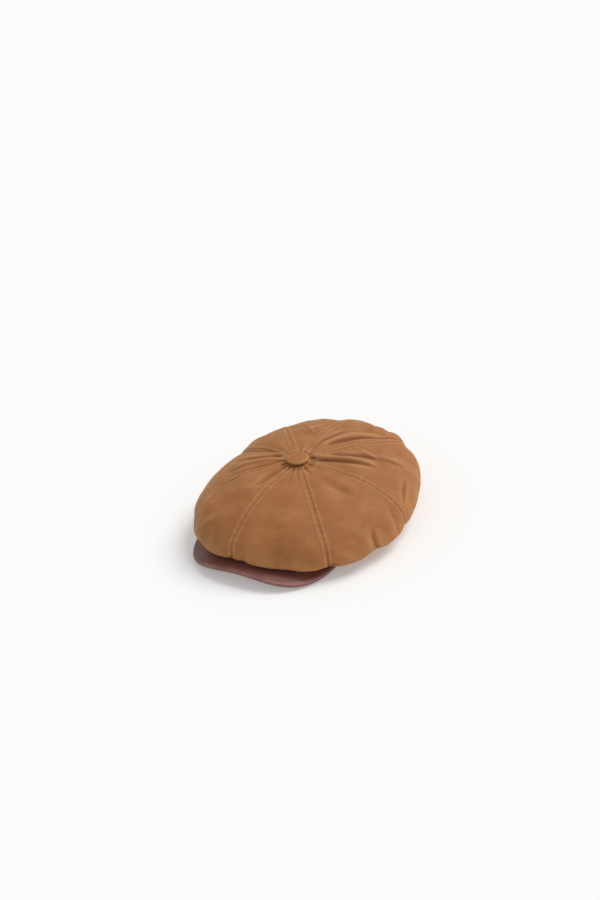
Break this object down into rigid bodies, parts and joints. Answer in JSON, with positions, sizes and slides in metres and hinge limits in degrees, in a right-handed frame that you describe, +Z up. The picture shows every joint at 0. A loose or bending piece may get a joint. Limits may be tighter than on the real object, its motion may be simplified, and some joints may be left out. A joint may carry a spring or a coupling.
{
  "type": "newsboy cap",
  "caption": "Newsboy cap lying on its band: full gored canvas crown with a covered button, inner headband and lining, and a stiff leather peak that tilts on its seam.",
  "frame": {"origin": "middle of the bounding box's base, on the surface the cap lies on", "axes": "+Z up, front of the cap and its peak towards -Y, the wearer's left towards +X"},
  "size_m": [0.2566, 0.3016, 0.0853],
  "materials": {
    "waxed_canvas": "matt waxed weave",
    "lining_satin": "satin",
    "band_stiffener": "matt",
    "sweatband_leather": "semi-matt",
    "peak_leather": "smooth, semi-gloss",
    "peak_board": "matt",
    "button_aluminium": "pressed",
    "button_steel": "plain"
  },
  "bodies": {
    "crown": {"crown_panel_front_left": "waxed_canvas", "crown_panel_side_front_left": "waxed_canvas", "crown_panel_side_back_left": "waxed_canvas", "crown_panel_back_left": "waxed_canvas", "crown_panel_back_right": "waxed_canvas", "crown_panel_side_back_right": "waxed_canvas", "crown_panel_side_front_right": "waxed_canvas", "crown_panel_front_right": "waxed_canvas", "lining_gore_front": "lining_satin", "lining_gore_left": "lining_satin", "lining_gore_back": "lining_satin", "lining_gore_right": "lining_satin", "headband_outer": "waxed_canvas", "headband_stiffener": "band_stiffener", "sweatband": "sweatband_leather", "button_cover": "waxed_canvas", "button_shell": "button_aluminium", "button_shank_plate": "button_steel", "button_washer": "button_steel"},
    "peak": {"peak_upper_leather": "peak_leather", "peak_board": "peak_board", "peak_lower_leather": "peak_leather"}
  },
  "joints": [
    {"name": "peak_tilt", "type": "hinge", "parent": "crown", "child": "peak", "pos_m": [0, -0.06845, 0.01309], "axis": [1, 0, 0], "range_deg": [-3, 8], "stiffness_Nm_per_rad": 2, "springref_deg": 1.15}
  ]
}
